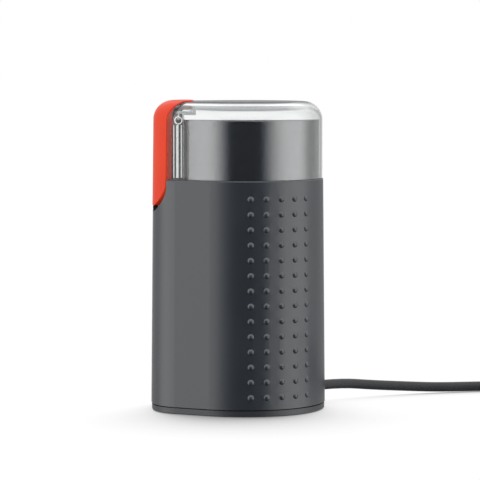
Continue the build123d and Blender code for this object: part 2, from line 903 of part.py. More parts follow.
# Cooling fan under the upper bracket
with BuildPart() as cooling_fan:
    fan_blade_start = fan_hub_radius / 2
    fan_blade_end = fan_radius - fan_edge
    with BuildSketch(level(fan_z)):
        Circle(fan_radius)
    extrude(amount=fan_plate)
    with BuildSketch(level(fan_z)):
        Circle(fan_hub_radius)
        with PolarLocations((fan_blade_start + fan_blade_end) / 2, fan_blades):
            Rectangle(fan_blade_end - fan_blade_start, fan_blade_thickness)
    extrude(amount=fan_height)
    with BuildSketch(level(fan_z)):
        Circle(shaft_radius)
    extrude(amount=fan_height, mode=Mode.SUBTRACT)

# Brush gear on the lower bracket, one set on each side of the commutator
holder_width = brush_width + 2 * (slide_gap + holder_wall)
holder_height = brush_height + 2 * (slide_gap + holder_wall)
holder_first = commutator_radius + holder_start
brush_planes = [Plane((axis_x, 0, brush_z), x_dir=(1, 0, 0), z_dir=(0, side, 0)) for side in (-1, 1)]

with BuildPart() as brush_holders:
    for plane in brush_planes:
        foot_drop = brush_z - lower_bracket_top_z
        with BuildSketch(plane.offset(holder_first)):
            Rectangle(holder_width, holder_height)
        extrude(amount=holder_end - holder_first)
        with BuildSketch(plane.offset(holder_first)):
            Rectangle(brush_width + 2 * slide_gap, brush_height + 2 * slide_gap)
        extrude(amount=holder_end - holder_first - holder_back, mode=Mode.SUBTRACT)
        stem_z = lower_bracket_top_z
        stem_middle = plane.z_dir.Y * (holder_first + holder_end) / 2
        with BuildSketch(Plane((axis_x, stem_middle, stem_z))):
            Rectangle(holder_width, holder_end - holder_first)
        extrude(amount=foot_drop - holder_height / 2)

with BuildPart() as carbon_brushes:
    for plane in brush_planes:
        with BuildSketch(plane.offset(brush_start)):
            Rectangle(brush_width, brush_height)
        extrude(amount=brush_length)

with BuildPart() as brush_springs:
    for plane in brush_planes:
        spring = spring_place(
            plane.offset(brush_start + brush_length + brush_spring_wire / 2),
            brush_spring_radius,
            brush_spring_length - brush_spring_wire,
            brush_spring_turns,
        )
        with BuildLine() as spring_line:
            wind(spring, 4 * brush_spring_turns)
        with BuildSketch(Plane(spring(0), z_dir=way_at(spring, 0))):
            Circle(brush_spring_wire / 2)
        sweep(path=spring_line.wires()[0])

# Drive hub, blade and blade nut on the top of the shaft
with BuildPart() as blade_hub:
    with BuildSketch(level(hub_z)):
        Circle(hub_flange_radius)
    extrude(amount=hub_flange_height)
    with BuildSketch(level(hub_z)):
        Circle(hub_neck_radius)
    extrude(amount=hub_flange_height + hub_neck_height)
    with BuildSketch(level(hub_z)):
        Circle(shaft_radius)
    extrude(amount=hub_flange_height + hub_neck_height, mode=Mode.SUBTRACT)

with BuildPart() as grinding_blade:
    low_edge = [
        (-blade_reach, blade_z - blade_fall),
        (-blade_bend, blade_z - blade_fall),
        (-blade_root, blade_z),
        (blade_root, blade_z),
        (blade_bend, blade_z + blade_rise),
        (blade_reach, blade_z + blade_rise),
    ]
    high_edge = [(x, z + blade_thickness) for x, z in reversed(low_edge)]
    with BuildSketch(side_plane):
        with BuildLine():
            Polyline(*low_edge, *high_edge, close=True)
        make_face()
    extrude(amount=blade_width, both=True)
    with BuildSketch(level(blade_z - blade_width)):
        Circle(blade_width / 2 + blade_thickness)
        for side in (-1, 1):
            with BuildLine():
                Polyline(
                    (0, -side * blade_width / 2),
                    (side * blade_bend, -side * blade_width / 2),
                    (side * blade_reach, -side * (blade_width / 2 - blade_tip_width)),
                    (side * blade_reach, side * blade_tip_width / 2),
                    (side * blade_bend, side * blade_width / 2),
                    (0, side * blade_width / 2),
                    close=True,
                )
            make_face()
        Circle(shaft_radius, mode=Mode.SUBTRACT)
    extrude(amount=2 * blade_width, mode=Mode.INTERSECT)

with BuildPart() as blade_nut:
    with BuildSketch(level(blade_nut_z)):
        Circle(blade_nut_radius)
    extrude(amount=blade_nut_height)
    fillet(blade_nut.faces().sort_by(Axis.Z)[-1].edges(), blade_nut_edge)
    with BuildSketch(level(blade_nut_z)):
        Circle(shaft_radius)
    extrude(amount=shaft_in_nut, mode=Mode.SUBTRACT)

# Switch under the carrier, with a plunger up through it
with BuildPart() as switch_body:
    with BuildSketch(Plane((*plunger_spot, switch_z))):
        Rectangle(switch_width, switch_length)
        with GridLocations(0, switch_screw_spread, 1, 2):
            Circle(switch_screw_radius + running_gap, mode=Mode.SUBTRACT)
    extrude(amount=switch_height)
    with BuildSketch(Plane((*plunger_spot, switch_z + switch_floor))):
        Circle(plunger_radius + fit_gap)
    extrude(amount=switch_height, mode=Mode.SUBTRACT)

with BuildPart() as switch_plunger:
    with BuildSketch(Plane((*plunger_spot, plunger_z))):
        Circle(plunger_radius)
    extrude(amount=plunger_top_z - plunger_z)

with BuildPart() as plunger_spring:
    plunger_spring_z = switch_z + switch_floor + plunger_spring_wire / 2
    spring = spring_place(
        Plane((*plunger_spot, plunger_spring_z)),
        plunger_spring_radius,
        plunger_z - plunger_spring_wire / 2 - plunger_spring_z,
        plunger_spring_turns,
    )
    with BuildLine() as spring_line:
        wind(spring, 4 * plunger_spring_turns)
    with BuildSketch(Plane(spring(0), z_dir=way_at(spring, 0))):
        Circle(plunger_spring_wire / 2)
    sweep(path=spring_line.wires()[0])

with BuildPart() as switch_contacts:
    with BuildSketch(Plane((*plunger_spot, switch_z))):
        with GridLocations(0, contact_spread, 1, 2):
            Rectangle(contact_thickness, contact_width)
    extrude(amount=-contact_length)

with BuildPart() as switch_screws:
    with BuildSketch(Plane((*plunger_spot, switch_z))):
        with GridLocations(0, switch_screw_spread, 1, 2):
            Circle(switch_screw_head)
    extrude(amount=-switch_screw_head)
    with BuildSketch(Plane((*plunger_spot, switch_z))):
        with GridLocations(0, switch_screw_spread, 1, 2):
            Circle(switch_screw_radius)
    extrude(amount=switch_height + switch_screw_grip)

# Outer form of the lid and the hollow inside it, apart from the pod round the button
with BuildPart() as lid_hollow:
    with BuildSketch(level(seam_z - overrun)):
        with BuildLine():
            egg_outline(lid_inset + lid_wall)
        make_face()
    extrude(amount=overrun + lid_height - lid_top)
    fillet(lid_hollow.faces().sort_by(Axis.Z)[-1].edges(), lid_corner - lid_wall)
    with BuildSketch(level(seam_z - overrun)):
        tongue_plan(fit_gap + lid_wall)
        Circle(lid_inner_radius, mode=Mode.SUBTRACT)
    extrude(amount=overrun + lid_height, mode=Mode.SUBTRACT)
    with BuildSketch(level(recess_floor_z - lid_wall)):
        tongue_plan(fit_gap + lid_wall)
    extrude(amount=lid_height, mode=Mode.SUBTRACT)

# Clear lid: a shell that carries the button in its nose
with BuildPart() as lid:
    with BuildSketch(level(seam_z)):
        with BuildLine():
            egg_outline(lid_inset)
        make_face()
    extrude(amount=lid_height)
    fillet(lid.faces().sort_by(Axis.Z)[-1].edges(), lid_corner)
    add(lid_hollow.part, mode=Mode.SUBTRACT)
    add(button_bay.part, mode=Mode.SUBTRACT)
    with BuildSketch(level(recess_floor_z)):
        tongue_plan(fit_gap)
    extrude(amount=lid_height, mode=Mode.SUBTRACT)
    with BuildSketch(level(shelf_z)):
        with Locations((-(bay_radius - lid_wall / 2), 0)):
            Rectangle(
                plunger_reach + shelf_back - bay_radius + lid_wall / 2,
                shelf_width,
                align=(Align.MAX, Align.CENTER),
            )
    extrude(amount=shelf_height)

# Inner form of the button
with BuildPart() as button_core:
    tongue_z = button_top_z - tongue_thickness
    for height, inset in ((tip_z - 2 * overrun, button_tip_inset), (tongue_z, lid_inset)):
        with BuildSketch(level(height)):
            with BuildLine():
                egg_outline(inset + button_thickness)
            make_face()
    loft()
    fillet(button_core.faces().sort_by(Axis.Z)[-1].edges(), button_inner_corner)

# Push button: a strip that wraps over the nose of the lid, with a press foot at its lower end
with BuildPart() as button:
    for height, inset in ((tip_z - overrun, button_tip_inset), (button_top_z, lid_inset)):
        with BuildSketch(level(height)):
            with BuildLine():
                egg_outline(inset)
            make_face()
    loft()
    fillet(button.faces().sort_by(Axis.Z)[-1].edges(), lid_corner)
    add(button_core.part, mode=Mode.SUBTRACT)
    with BuildSketch(nose_plane):
        with BuildLine():
            tongue_outline(0, tip_z, button_top_z + overrun)
        make_face()
    extrude(amount=2 * nose_reach, mode=Mode.INTERSECT)
    with BuildSketch(level(tip_z - overrun)):
        tongue_plan(0)
    extrude(amount=lid_height + casing_height, mode=Mode.INTERSECT)
    inner_face = nose_reach - lid_inset - button_thickness / 2
    for height, depth, width, tall in (
        (press_foot_z, bay_radius + press_foot_back, press_foot_width, press_foot_height),
        (tab_z, bay_radius + press_foot_back, shelf_width, tab_height),
    ):
        with BuildSketch(level(height)):
            with Locations((-depth, 0)):
                Rectangle(inner_face - depth, width, align=(Align.MAX, Align.CENTER))
        extrude(amount=tall)

# Return spring of the button
with BuildPart() as button_spring:
    spring_foot_z = button_spring_z + button_spring_wire / 2
    spring = spring_place(
        Plane((*plunger_spot, spring_foot_z)),
        button_spring_radius,
        button_spring_length - button_spring_wire,
        button_spring_turns,
    )
    print("button spring self gap", least_gap(spring, 4 * button_spring_turns, button_spring_wire))
    with BuildLine() as spring_line:
        wind(spring, 4 * button_spring_turns)
    with BuildSketch(Plane(spring(0), z_dir=way_at(spring, 0))):
        Circle(button_spring_wire / 2)
    sweep(path=spring_line.wires()[0])

# Suppression capacitor and terminal block on the base
with BuildPart() as suppression_capacitor:
    with BuildSketch(Plane((*spot(capacitor_reach, 180), base_top_z))):
        RectangleRounded(capacitor_length, capacitor_width, capacitor_corner)
    extrude(amount=capacitor_height)

with BuildPart() as terminal_block:
    with BuildSketch(Plane((axis_x + terminal_reach, -terminal_side, base_top_z))):
        Rectangle(terminal_length, terminal_width)
        with GridLocations(0, terminal_width / 2, 1, 2):
            Circle(terminal_hole_radius, mode=Mode.SUBTRACT)
    extrude(amount=terminal_height)

# Strain relief in its slot at the foot of the casing
with BuildPart() as strain_relief:
    flange_start = main_radius - casing_wall - gland_seat - gland_flange
    neck_end = main_radius + fit_gap
    gland_profile = Plane((axis_x, 0, gland_z), x_dir=gland_way, z_dir=gland_side)
    with BuildSketch(gland_profile):
        with BuildLine():
            Polyline(
                (flange_start - gland_tail, 0),
                (flange_start - gland_tail, gland_tail_radius),
                (flange_start, gland_tail_radius),
                (flange_start, gland_flange_radius),
                (flange_start + gland_flange, gland_flange_radius),
                (flange_start + gland_flange, gland_neck_radius),
                (neck_end, gland_neck_radius),
                (neck_end, gland_collar_radius),
                (neck_end + gland_flange, gland_collar_radius),
                (main_radius + gland_nose, gland_end_radius),
                (main_radius + gland_nose, 0),
                close=True,
            )
        make_face()
    revolve(axis=Axis((axis_x, 0, gland_z), gland_way))
    with BuildSketch(Plane.XY):
        Circle(2 * nose_reach)
    extrude(amount=base_top_z, mode=Mode.SUBTRACT)

# Clamp bar over the relief's tail, and its screws
clamp_top_z = gland_z + gland_tail_radius + slide_gap
with BuildPart() as cord_clamp:
    clamp_centre = Vector(axis_x, 0) + gland_way * clamp_reach
    with BuildSketch(Plane((clamp_centre.X, clamp_centre.Y, clamp_top_z), x_dir=gland_side)):
        SlotCenterToCenter(clamp_spread, clamp_width)
        with GridLocations(clamp_spread, 0, 2, 1):
            Circle(screw_hole_radius, mode=Mode.SUBTRACT)
    extrude(amount=clamp_thickness)

with BuildPart() as clamp_screws:
    with BuildSketch(Plane.XY.offset(clamp_top_z + clamp_thickness)):
        with Locations(*clamp_spots):
            Circle(screw_head_radius)
    extrude(amount=screw_head_height)
    with BuildSketch(Plane.XY.offset(clamp_top_z + clamp_thickness)):
        with Locations(*clamp_spots):
            Circle(screw_radius)
    extrude(amount=-(clamp_thickness + gland_tail_radius))

# Cord: where its coil starts and ends, and its tubes
turn_step = cord_diameter + turn_gap
coil_z = cord_diameter / 2 + tie_thickness + tie_play
half_way = coil_quarters / 2
coil_core = coil_radius - turn_step * (half_way - 1) / 4


def cord_place(quarter):
    """Points of the coil: in along the floor, up a layer while it reverses, and out again."""
    from_middle = quarter - half_way
    if abs(from_middle) < 1:
        radius = coil_core + turn_step * (from_middle**2 - 1) / 8
        climb = (from_middle + 1) / 2
        height = turn_step * (3 * climb**2 - 2 * climb**3)
    else:
        radius = coil_core + turn_step * (abs(from_middle) - 1) / 4
        height = 0 if from_middle < 0 else turn_step
    angle = (1 - quarter) * pi / 2
    return Vector(coil_x + radius * cos(angle), coil_y + radius * sin(angle), coil_z + height)


coil_first = cord_place(0) - way_at(cord_place, 0) * cord_diameter
coil_last = cord_place(coil_quarters) + way_at(cord_place, coil_quarters) * cord_diameter
gland_end = Vector(axis_x, 0, gland_z) + gland_way * (main_radius + gland_nose)
lead_points = [
    gland_end,
    gland_end + gland_way * cord_first_run,
    *cord_route,
    coil_first - way_at(cord_place, 0) * cord_last_run,
    coil_first,
]
tail_points = [
    coil_last,
    coil_last + way_at(cord_place, coil_quarters) * cord_last_run,
    *tail_route,
    plug_end,
]

with BuildPart() as cord_lead:
    with BuildLine():
        lead_path = FilletPolyline(*lead_points, radius=corner_radii(lead_points))
    with BuildSketch(Plane(lead_path @ 0, z_dir=lead_path % 0)):
        Circle(cord_diameter / 2)
    sweep(path=lead_path)

with BuildPart() as cord_coil:
    with BuildLine() as coil_line:
        Line(coil_first, cord_place(0))
        wind(cord_place, coil_quarters)
        Line(cord_place(coil_quarters), coil_last)
    coil_path = coil_line.wires()[0]
    with BuildSketch(Plane(coil_first, z_dir=way_at(cord_place, 0))):
        Circle(cord_diameter / 2)
    sweep(path=coil_path)

with BuildPart() as cord_tail:
    with BuildLine():
        tail_path = FilletPolyline(*tail_points, radius=corner_radii(tail_points))
    with BuildSketch(Plane(tail_path @ 0, z_dir=tail_path % 0)):
        Circle(cord_diameter / 2)
    sweep(path=tail_path)

# Measures of the cord, for the report
cord_section = pi * (cord_diameter / 2) ** 2
for name, tube, route in (
    ("lead", cord_lead, lead_path),
    ("coil", cord_coil, coil_path),
    ("tail", cord_tail, tail_path),
):
    print(name, "length", route.length, "volume share", tube.part.volume / (cord_section * route.length))
print("lead radii", corner_radii(lead_points))
print("tail radii", corner_radii(tail_points))
print("coil self gap", least_gap(cord_place, coil_quarters, cord_diameter))

# Ties round the coil
with BuildPart() as cord_ties:
    for angle in tie_angles:
        first_pass = (90 - angle) / 90 % 4
        passes = [cord_place(first_pass + 4 * turn) for turn in range(coil_quarters // 4)]
        radii = [(point - Vector(coil_x, coil_y, point.Z)).length for point in passes]
        inner = min(radii) - cord_diameter / 2 - tie_play
        outer = max(radii) + cord_diameter / 2 + tie_play
        top = coil_z + turn_step + cord_diameter / 2 + tie_play
        ray = Vector(cos(radians(angle)), sin(radians(angle)), 0)
        middle = Vector(coil_x, coil_y, (top + tie_thickness) / 2) + ray * ((inner + outer) / 2)
        outer_corner = tie_corner + tie_thickness
        with BuildSketch(Plane(middle, x_dir=ray, z_dir=(ray.Y, -ray.X, 0))):
            RectangleRounded(outer - inner + 2 * tie_thickness, top + tie_thickness, outer_corner)
            RectangleRounded(outer - inner, top - tie_thickness, tie_corner, mode=Mode.SUBTRACT)
        extrude(amount=tie_width / 2, both=True)

# Plug with two round pins
plug_way = (Vector(plug_end) - Vector(tail_route[-1])).normalized()
plug_plane = Plane(plug_end, x_dir=(-plug_way.Y, plug_way.X, 0), z_dir=plug_way)
plug_axis = Axis(plug_end, plug_way)
with BuildPart() as plug_body:
    with BuildSketch(plug_plane):
        Circle(plug_boot_radius)
    with BuildSketch(plug_plane.offset(plug_boot)):
        Circle(plug_height / 2)
    loft()
    with BuildSketch(plug_plane.offset(plug_boot)):
        RectangleRounded(plug_width, plug_height, plug_corner)
    extrude(amount=plug_length)
    fillet(plug_body.faces().sort_by(plug_axis)[-1].edges(), plug_edge)

with BuildPart() as plug_pins:
    with BuildSketch(plug_plane.offset(plug_boot + plug_length)):
        with GridLocations(pin_spread, 0, 2, 1):
            Circle(pin_radius)
    extrude(amount=pin_length)
    fillet(plug_pins.faces().sort_by(plug_axis)[-2:].edges(), pin_radius / 2)

# Lead wires: cord to switch, cord to terminals, terminals to a brush holder, switch to the other
tail_face = Vector(axis_x, 0, gland_z) + gland_way * (flange_start - gland_tail)
live_start = tail_face + gland_side * (gland_tail_radius / 2)
neutral_start = tail_face - gland_side * (gland_tail_radius / 2)
terminal_x = axis_x + terminal_reach
terminal_face = Vector(terminal_x, terminal_width / 2 - terminal_side, gland_z)
terminal_mouth = Vector(terminal_x, -terminal_side - terminal_width / 4, base_top_z + terminal_height)
live_contact = Vector(plunger_spot[0], contact_spread / 2, switch_z - contact_length)
motor_contact = Vector(plunger_spot[0], -contact_spread / 2, switch_z - contact_length)
back_holder = Vector(axis_x - holder_width / 2, (holder_first + holder_end) / 2, brush_z)
front_holder = Vector(axis_x + holder_width / 2, -(holder_first + holder_end) / 2, brush_z)
wire_routes = [
    [
        live_start,
        live_start - gland_way * wire_lead,
        *wire_points(live_shares),
        live_contact - Vector(0, 0, wire_drop),
        live_contact,
    ],
    [
        neutral_start,
        neutral_start - gland_way * ((neutral_start.X - terminal_x) / gland_way.X),
        terminal_face,
    ],
    [
        terminal_mouth,
        terminal_mouth + Vector(0, 0, wire_rise),
        *wire_points(terminal_shares),
        front_holder + Vector(wire_approach, 0, 0),
        front_holder,
    ],
    [
        motor_contact,
        motor_contact - Vector(0, 0, wire_drop),
        *wire_points(switch_shares),
        back_holder - Vector(wire_approach, 0, 0),
        back_holder,
    ],
]
with BuildPart() as lead_wires:
    for points in wire_routes:
        with BuildLine():
            wire_path = FilletPolyline(*points, radius=corner_radii(points))
        with BuildSketch(Plane(wire_path @ 0, z_dir=wire_path % 0)):
            Circle(wire_radius)
        sweep(path=wire_path)

pieces = {
    "outer_casing": outer_casing,
    "base_cover": base_cover,
    "rubber_feet": rubber_feet,
    "base_screws": base_screws,
    "motor_carrier": motor_carrier,
    "carrier_screws": carrier_screws,
    "bowl_gasket": bowl_gasket,
    "grinding_bowl": grinding_bowl,
    "bowl_nut": bowl_nut,
    "upper_bracket": upper_bracket,
    "lower_bracket": lower_bracket,
    "upper_bush": upper_bush,
    "lower_bush": lower_bush,
    "shaft_seal": shaft_seal,
    "rubber_mounts": rubber_mounts,
    "motor_bolts": motor_bolts,
    "stator_core": stator_core,
    "field_coils": field_coils,
    "motor_shaft": motor_shaft,
    "armature_core": armature_core,
    "armature_winding": armature_winding,
    "commutator": commutator,
    "cooling_fan": cooling_fan,
    "brush_holders": brush_holders,
    "carbon_brushes": carbon_brushes,
    "brush_springs": brush_springs,
    "blade_hub": blade_hub,
    "grinding_blade": grinding_blade,
    "blade_nut": blade_nut,
    "switch_body": switch_body,
    "switch_plunger": switch_plunger,
    "plunger_spring": plunger_spring,
    "switch_contacts": switch_contacts,
    "switch_screws": switch_screws,
    "lid": lid,
    "button": button,
    "button_spring": button_spring,
    "suppression_capacitor": suppression_capacitor,
    "terminal_block": terminal_block,
    "strain_relief": strain_relief,
    "cord_clamp": cord_clamp,
    "clamp_screws": clamp_screws,
    "lead_wires": lead_wires,
    "cord_lead": cord_lead,
    "cord_coil": cord_coil,
    "cord_tail": cord_tail,
    "cord_ties": cord_ties,
    "plug_body": plug_body,
    "plug_pins": plug_pins,
}
os.makedirs("parts", exist_ok=True)
for name, piece in pieces.items():
    piece.part.label = name
    export_step(piece.part, f"parts/{name}.step")
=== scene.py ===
import math

import bmesh
import bpy
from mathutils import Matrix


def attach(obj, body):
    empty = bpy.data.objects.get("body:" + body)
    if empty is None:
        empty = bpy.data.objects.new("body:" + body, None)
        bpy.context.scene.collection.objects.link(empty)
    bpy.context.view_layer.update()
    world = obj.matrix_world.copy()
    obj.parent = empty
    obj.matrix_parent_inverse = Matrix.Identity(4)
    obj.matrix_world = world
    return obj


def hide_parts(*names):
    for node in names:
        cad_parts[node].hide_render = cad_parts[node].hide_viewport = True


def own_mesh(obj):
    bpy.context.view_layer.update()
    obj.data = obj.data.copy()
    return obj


# An electric blade grinder: a tapered dark casing on a sunken base, a steel bowl with a blade in
# it, a clear lid with an orange button over the casing's nose, and a mains cord, all in metres.
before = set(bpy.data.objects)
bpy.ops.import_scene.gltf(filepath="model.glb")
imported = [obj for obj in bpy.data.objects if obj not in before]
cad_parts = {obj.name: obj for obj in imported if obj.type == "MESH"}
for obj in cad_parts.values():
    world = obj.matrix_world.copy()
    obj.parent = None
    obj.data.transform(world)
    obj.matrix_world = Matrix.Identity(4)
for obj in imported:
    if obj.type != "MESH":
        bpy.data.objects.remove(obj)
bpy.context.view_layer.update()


# Base cover: a shallow tray of dark plastic, injection moulded, that closes the casing from below.
# Its rim stands back under the casing, so a shadow line runs round between the two.
class Socket:
    """A value in a material's nodes. Sums and products of such values add their Math nodes."""

    def __init__(self, tree, link=None):
        self.tree = tree
        self.link = link

    def node(self, kind, settings=None, sockets=None, output=0):
        """Any other node: its settings are set first, then the values or links of its sockets."""
        made = self.tree.nodes.new(kind)
        for name, value in (settings or {}).items():
            setattr(made, name, value)
        for name, value in (sockets or {}).items():
            if isinstance(value, Socket):
                self.tree.links.new(value.link, made.inputs[name])
            else:
                made.inputs[name].default_value = value
        return Socket(self.tree, made.outputs[output])

    def math(self, operation, first, second=0.0):
        """One Math node on one or two values."""
        return self.node("ShaderNodeMath", {"operation": operation}, {0: first, 1: second})

    def __add__(self, other):
        return self.math("ADD", self, other)

    __radd__ = __add__

    def __sub__(self, other):
        return self.math("SUBTRACT", self, other)

    def __rsub__(self, other):
        return self.math("SUBTRACT", other, self)

    def __mul__(self, other):
        return self.math("MULTIPLY", self, other)

    __rmul__ = __mul__

    def eased(self, low, high):
        """The value moved from low..high to 0..1 on a soft step, and kept there."""
        settings = {"interpolation_type": "SMOOTHSTEP"}
        return self.node("ShaderNodeMapRange", settings, {0: self, 1: low, 2: high})

    def between(self, dark, pale):
        """A colour from dark to pale, by this value. Inputs 6 and 7 and output 2 are colours."""
        sockets = {0: self, 6: (*dark, 1), 7: (*pale, 1)}
        return self.node("ShaderNodeMix", {"data_type": "RGBA"}, sockets, 2)

    def feed(self, shader, name):
        """Links this value to a socket of a node that is there already."""
        self.tree.links.new(self.link, shader.inputs[name])


def surface(name, **constants):
    """A material with one Principled shader, constants on its sockets, and a start for nodes."""
    made = bpy.data.materials.new(name)
    made.use_nodes = True
    shader = made.node_tree.nodes["Principled BSDF"]
    for key, value in constants.items():
        shader.inputs[key.replace("_", " ")].default_value = value
    return made, shader, Socket(made.node_tree)


def moulded(name, dark, pale, rough, grain=1500.0, relief=0.00002, **constants):
    """A moulded plastic or rubber, clouded a little in its colour, with the tool's fine grain."""
    made, shader, start = surface(name, **constants)
    place = start.node("ShaderNodeTexCoord", output="Object")
    cloud = start.node("ShaderNodeTexNoise", None, {"Vector": place, "Scale": 40.0, "Detail": 3.0})
    speck = start.node("ShaderNodeTexNoise", None, {"Vector": place, "Scale": grain, "Detail": 2.0})
    cloud.eased(0.3, 0.7).between(dark, pale).feed(shader, "Base Color")
    cloud_wear, speck_wear = 0.06, 0.10
    (rough + cloud_wear * (cloud - 0.5) + speck_wear * (speck - 0.5)).feed(shader, "Roughness")
    relief_sockets = {"Height": speck, "Strength": 0.5, "Distance": relief}
    start.node("ShaderNodeBump", None, relief_sockets).feed(shader, "Normal")
    return made


def dress(made, *names):
    """Puts a finish on nodes of the CAD part."""
    for name in names:
        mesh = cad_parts[name].data
        mesh.materials.clear()
        mesh.materials.append(made)


base_plastic = moulded(
    "base_plastic",
    dark=(0.018, 0.021, 0.027),
    pale=(0.022, 0.025, 0.031),
    rough=0.40,
    IOR=1.6,
    Specular_IOR_Level=0.9,
)
dress(base_plastic, "base_cover")

# Feet and screws: soft black rubber discs pressed into the base cover, and zinc-plated steel
# screws. The same plated screws hold the carrier, the motor, the switch and the cord clamp inside.
foot_rubber = moulded(
    "foot_rubber",
    dark=(0.016, 0.016, 0.016),
    pale=(0.024, 0.024, 0.024),
    rough=0.78,
    grain=900.0,
)
dress(foot_rubber, "rubber_feet")


def metal(name, dark, pale, rough, lines, relief=0.00001):
    """A metal with fine lines or grains, as many to the metre along each axis as lines says."""
    made, shader, start = surface(name, Metallic=1.0)
    place = start.node("ShaderNodeTexCoord", output="Object")
    pressed = start.node("ShaderNodeMapping", None, {"Vector": place, "Scale": lines})
    line = start.node("ShaderNodeTexNoise", None, {"Vector": pressed, "Scale": 1.0, "Detail": 3.0})
    line.eased(0.25, 0.75).between(dark, pale).feed(shader, "Base Color")
    line_wear = 0.16
    (rough + line_wear * (line - 0.5)).feed(shader, "Roughness")
    relief_sockets = {"Height": line, "Strength": 0.4, "Distance": relief}
    start.node("ShaderNodeBump", None, relief_sockets).feed(shader, "Normal")
    return made


zinc_plate = metal(
    "zinc_plate",
    dark=(0.42, 0.42, 0.41),
    pale=(0.56, 0.56, 0.54),
    rough=0.34,
    lines=(900.0, 900.0, 900.0),
)
dress(zinc_plate, "base_screws", "carrier_screws", "motor_bolts", "switch_screws", "clamp_screws")

# Motor carrier and brackets: a plate of glass-filled plastic on rubber mounts, and two die-cast
# frames with sintered bronze bushes that hold the motor under it.
carrier_plastic = moulded(
    "carrier_plastic",
    dark=(0.030, 0.030, 0.032),
    pale=(0.050, 0.050, 0.052),
    rough=0.62,
    grain=800.0,
)
dress(carrier_plastic, "motor_carrier")
seal_rubber = moulded(
    "seal_rubber",
    dark=(0.020, 0.020, 0.020),
    pale=(0.032, 0.032, 0.032),
    rough=0.72,
    grain=900.0,
)
dress(seal_rubber, "rubber_mounts")
cast_alloy = metal(
    "cast_alloy",
    dark=(0.44, 0.44, 0.45),
    pale=(0.60, 0.60, 0.61),
    rough=0.46,
    lines=(700.0, 700.0, 700.0),
)
dress(cast_alloy, "upper_bracket", "lower_bracket")
bush_bronze = metal(
    "bush_bronze",
    dark=(0.36, 0.22, 0.10),
    pale=(0.50, 0.32, 0.15),
    rough=0.45,
    lines=(1400.0, 1400.0, 1400.0),
)
dress(bush_bronze, "upper_bush", "lower_bush")

# Motor: stacks of thin iron sheet, coils of enamelled copper wire, a commutator of copper bars
# with two carbon brushes in brass holders, and a moulded fan on a ground steel shaft.
sheet_stack = metal(
    "sheet_stack",
    dark=(0.16, 0.16, 0.17),
    pale=(0.34, 0.34, 0.35),
    rough=0.46,
    lines=(5.0, 5.0, 1900.0),
    relief=0.00004,
)
dress(sheet_stack, "stator_core", "armature_core")
field_wire = metal(
    "field_wire",
    dark=(0.36, 0.11, 0.04),
    pale=(0.66, 0.27, 0.12),
    rough=0.34,
    lines=(4.0, 4.0, 2200.0),
    relief=0.00008,
)
dress(field_wire, "field_coils")
rotor_wire = metal(
    "rotor_wire",
    dark=(0.36, 0.11, 0.04),
    pale=(0.66, 0.27, 0.12),
    rough=0.34,
    lines=(2200.0, 2200.0, 4.0),
    relief=0.00008,
)
dress(rotor_wire, "armature_winding")
copper_bars = metal(
    "copper_bars",
    dark=(0.55, 0.22, 0.10),
    pale=(0.68, 0.30, 0.15),
    rough=0.30,
    lines=(8.0, 8.0, 1500.0),
)
dress(copper_bars, "commutator")
stamped_brass = metal(
    "stamped_brass",
    dark=(0.60, 0.42, 0.17),
    pale=(0.72, 0.52, 0.23),
    rough=0.34,
    lines=(500.0, 500.0, 60.0),
)
dress(stamped_brass, "brush_holders")
carbon = moulded(
    "carbon",
    dark=(0.010, 0.010, 0.010),
    pale=(0.022, 0.022, 0.023),
    rough=0.58,
    grain=2200.0,
)
dress(carbon, "carbon_brushes")
spring_wire = metal(
    "spring_wire",
    dark=(0.44, 0.44, 0.45),
    pale=(0.58, 0.58, 0.59),
    rough=0.28,
    lines=(600.0, 600.0, 600.0),
)
dress(spring_wire, "brush_springs")
ground_steel = metal(
    "ground_steel",
    dark=(0.52, 0.52, 0.52),
    pale=(0.64, 0.64, 0.64),
    rough=0.24,
    lines=(8.0, 8.0, 2400.0),
)
dress(ground_steel, "motor_shaft")
inner_plastic = moulded(
    "inner_plastic",
    dark=(0.026, 0.026, 0.027),
    pale=(0.040, 0.040, 0.041),
    rough=0.55,
    grain=1200.0,
)
dress(inner_plastic, "cooling_fan")

# Switch and wiring: a moulded snap switch under the casing's nose, with brass contacts and a sprung
# plunger that the button presses, then a terminal block, a film capacitor, sleeved leads and the
# cord's clamp.
dress(inner_plastic, "switch_body", "switch_plunger", "terminal_block", "cord_clamp")
dress(stamped_brass, "switch_contacts")
dress(spring_wire, "plunger_spring")
plunger_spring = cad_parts["plunger_spring"]
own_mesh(plunger_spring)
capacitor_box = moulded(
    "capacitor_box",
    dark=(0.46, 0.33, 0.045),
    pale=(0.56, 0.42, 0.065),
    rough=0.34,
    grain=1200.0,
)
dress(capacitor_box, "suppression_capacitor")
wire_sleeve = moulded(
    "wire_sleeve",
    dark=(0.025, 0.050, 0.17),
    pale=(0.034, 0.064, 0.21),
    rough=0.44,
    grain=1200.0,
)
dress(wire_sleeve, "lead_wires")

